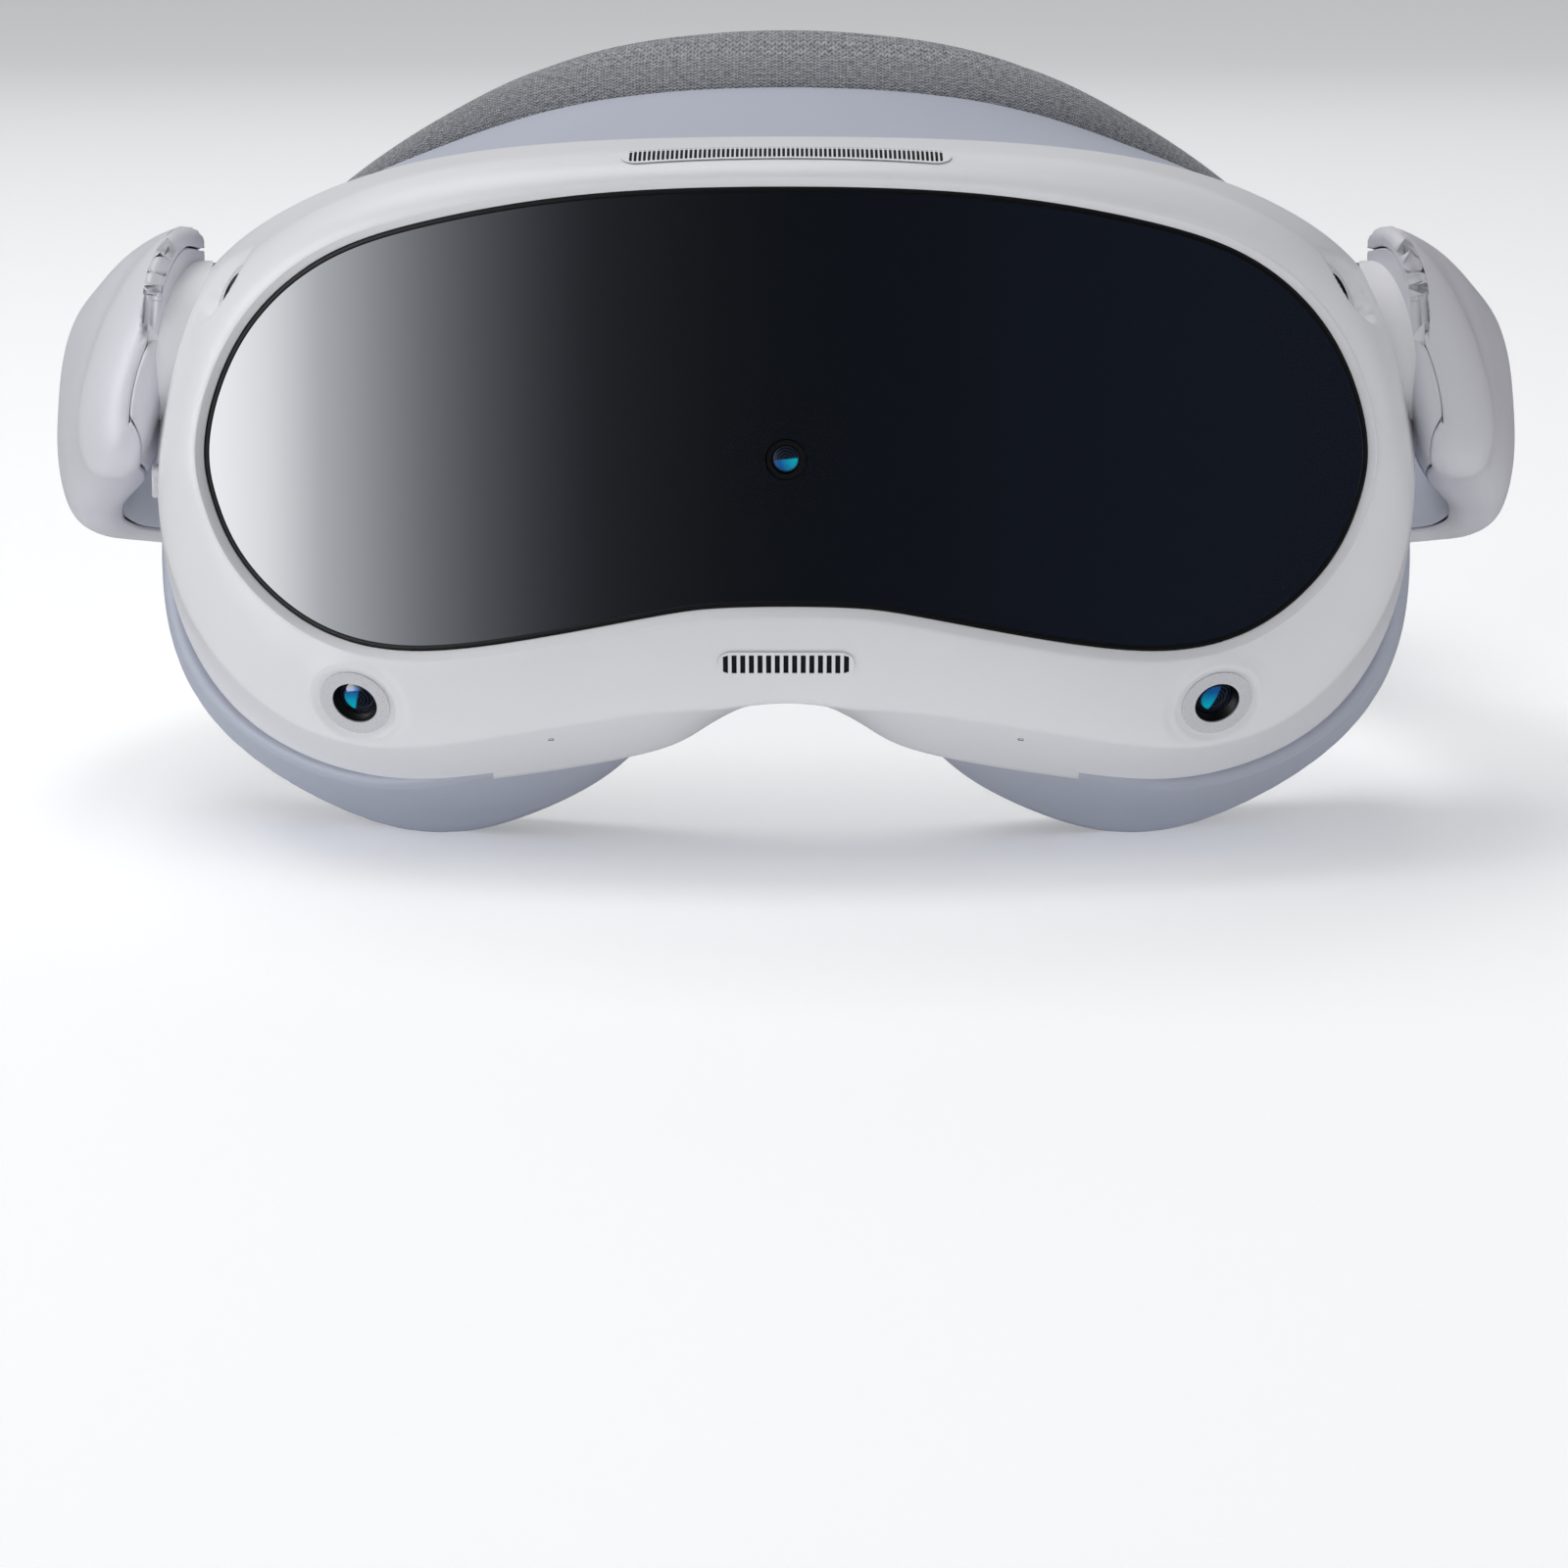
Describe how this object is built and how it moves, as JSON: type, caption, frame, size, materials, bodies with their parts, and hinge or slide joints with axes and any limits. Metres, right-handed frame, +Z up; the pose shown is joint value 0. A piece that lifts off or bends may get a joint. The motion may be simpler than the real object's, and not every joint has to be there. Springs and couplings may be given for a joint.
{
  "type": "vr headset",
  "caption": "Head-worn VR headset with a curved glossy visor, hinged strap arms, face cushion and a rear battery cup with a tightening dial.",
  "frame": {"origin": "centre of the object's box, on the surface that it rests on", "axes": "+X to the viewer's right facing the visor, +Y from the visor back to the rear cup, +Z up"},
  "size_m": [0.24, 0.27, 0.1296],
  "materials": {
    "shell_white": "satin white moulded plastic",
    "visor_black": "polished black",
    "grille_grey": "satin",
    "black_plastic": "fine matte",
    "camera_glass": "blue coated glass",
    "eye_glass": "clear coated glass",
    "trim_white": "satin",
    "board_green": "solder mask",
    "shield_steel": "brushed",
    "heat_sink_aluminium": "anodised",
    "display_glass": "dark panel",
    "microphone_steel": "plain",
    "gear_nylon": "natural nylon",
    "gasket_grey": "soft matte blue-grey",
    "knit_grey": "melange knit",
    "rubber_grey": "matte",
    "band_grey": "fine matte",
    "battery_wrap": "shrink wrap"
  },
  "bodies": {
    "front_unit": {"front_bezel": "shell_white", "visor_panel": "visor_black", "top_vent_grille": "grille_grey", "bottom_vent_grille": "grille_grey", "center_camera_barrel": "black_plastic", "center_camera_lens": "camera_glass", "tracking_camera_trims": "trim_white", "tracking_camera_lenses": "camera_glass", "camera_lower_left": "black_plastic", "camera_lower_right": "black_plastic", "camera_upper_left": "black_plastic", "camera_upper_right": "black_plastic", "rear_housing": "black_plastic", "proximity_sensor": "black_plastic", "main_board": "board_green", "board_shield": "shield_steel", "heat_sink": "heat_sink_aluminium", "fan_housing": "black_plastic", "microphones": "microphone_steel", "power_switch": "black_plastic", "eye_motor": "shield_steel", "guide_rods": "shield_steel", "gasket_frame": "gasket_grey", "face_cushion": "knit_grey", "nose_flap": "rubber_grey", "hinge_base_left": "shell_white", "hinge_base_right": "shell_white"},
    "fan": {"fan_rotor": "black_plastic"},
    "button": {"power_button": "trim_white"},
    "left_eye": {"display_left": "display_glass", "lens_barrel_left": "black_plastic", "eye_lens_left": "eye_glass", "lens_carriage_left": "black_plastic"},
    "right_eye": {"display_right": "display_glass", "lens_barrel_right": "black_plastic", "eye_lens_right": "eye_glass", "lens_carriage_right": "black_plastic"},
    "eye_gear": {"eye_pinion": "gear_nylon"},
    "strap": {"arm_inner_left": "gasket_grey", "arm_inner_right": "gasket_grey", "arm_outer_left": "shell_white", "arm_outer_right": "shell_white", "band_left": "band_grey", "band_right": "band_grey", "speaker_left": "black_plastic", "speaker_right": "black_plastic"},
    "rear_cup": {"rear_shell_outer": "shell_white", "rear_shell_inner": "gasket_grey", "rear_pad": "knit_grey", "battery_cell_left": "battery_wrap", "battery_cell_right": "battery_wrap", "battery_board": "black_plastic", "charging_port": "shield_steel"},
    "dial": {"dial_knob": "trim_white", "dial_pinion": "gear_nylon"},
    "left_rack": {"adjuster_rack_left": "gear_nylon"},
    "right_rack": {"adjuster_rack_right": "gear_nylon"}
  },
  "joints": [
    {"name": "strap_tilt", "type": "hinge", "parent": "front_unit", "child": "strap", "pos_m": [0, -0.0854, 0.0805], "axis": [1, 0, 0], "range_deg": [-10, 70]},
    {"name": "cup_slide", "type": "slide", "parent": "strap", "child": "rear_cup", "axis": [0, 1, 0], "range_m": [0, 0.025]},
    {"name": "dial_turn", "type": "hinge", "parent": "rear_cup", "child": "dial", "pos_m": [0, 0.1266, 0.038], "axis": [0, -1, 0], "range_deg": [0, 191]},
    {"name": "rack_left_slide", "type": "slide", "parent": "rear_cup", "child": "left_rack", "axis": [-1, 0, 0], "range_m": [0, 0.025]},
    {"name": "rack_right_slide", "type": "slide", "parent": "rear_cup", "child": "right_rack", "axis": [1, 0, 0], "range_m": [0, 0.025]},
    {"name": "eye_slide_left", "type": "slide", "parent": "front_unit", "child": "left_eye", "axis": [-1, 0, 0], "range_m": [-0.0025, 0.0025]},
    {"name": "eye_slide_right", "type": "slide", "parent": "front_unit", "child": "right_eye", "axis": [1, 0, 0], "range_m": [-0.0025, 0.0025]},
    {"name": "eye_gear_turn", "type": "hinge", "parent": "front_unit", "child": "eye_gear", "pos_m": [0, -0.113, 0.0695], "axis": [0, -1, 0], "range_deg": [-34.2, 34.2]},
    {"name": "fan_spin", "type": "hinge", "parent": "front_unit", "child": "fan", "pos_m": [0.024, -0.1236, 0.084], "axis": [0, -1, 0], "continuous": true},
    {"name": "power_press", "type": "slide", "parent": "front_unit", "child": "button", "axis": [0.9925, 0.1219, 0], "range_m": [0, 0.0005], "stiffness_N_per_m": 900, "springref_m": -0.0008}
  ],
  "couplings": [
    {"joint": "dial_turn", "follows": "cup_slide", "rad_per_m": 133.33},
    {"joint": "rack_left_slide", "follows": "cup_slide", "ratio": 1},
    {"joint": "rack_right_slide", "follows": "cup_slide", "ratio": 1},
    {"joint": "eye_slide_right", "follows": "eye_slide_left", "ratio": 1},
    {"joint": "eye_gear_turn", "follows": "eye_slide_left", "rad_per_m": 238.1}
  ]
}
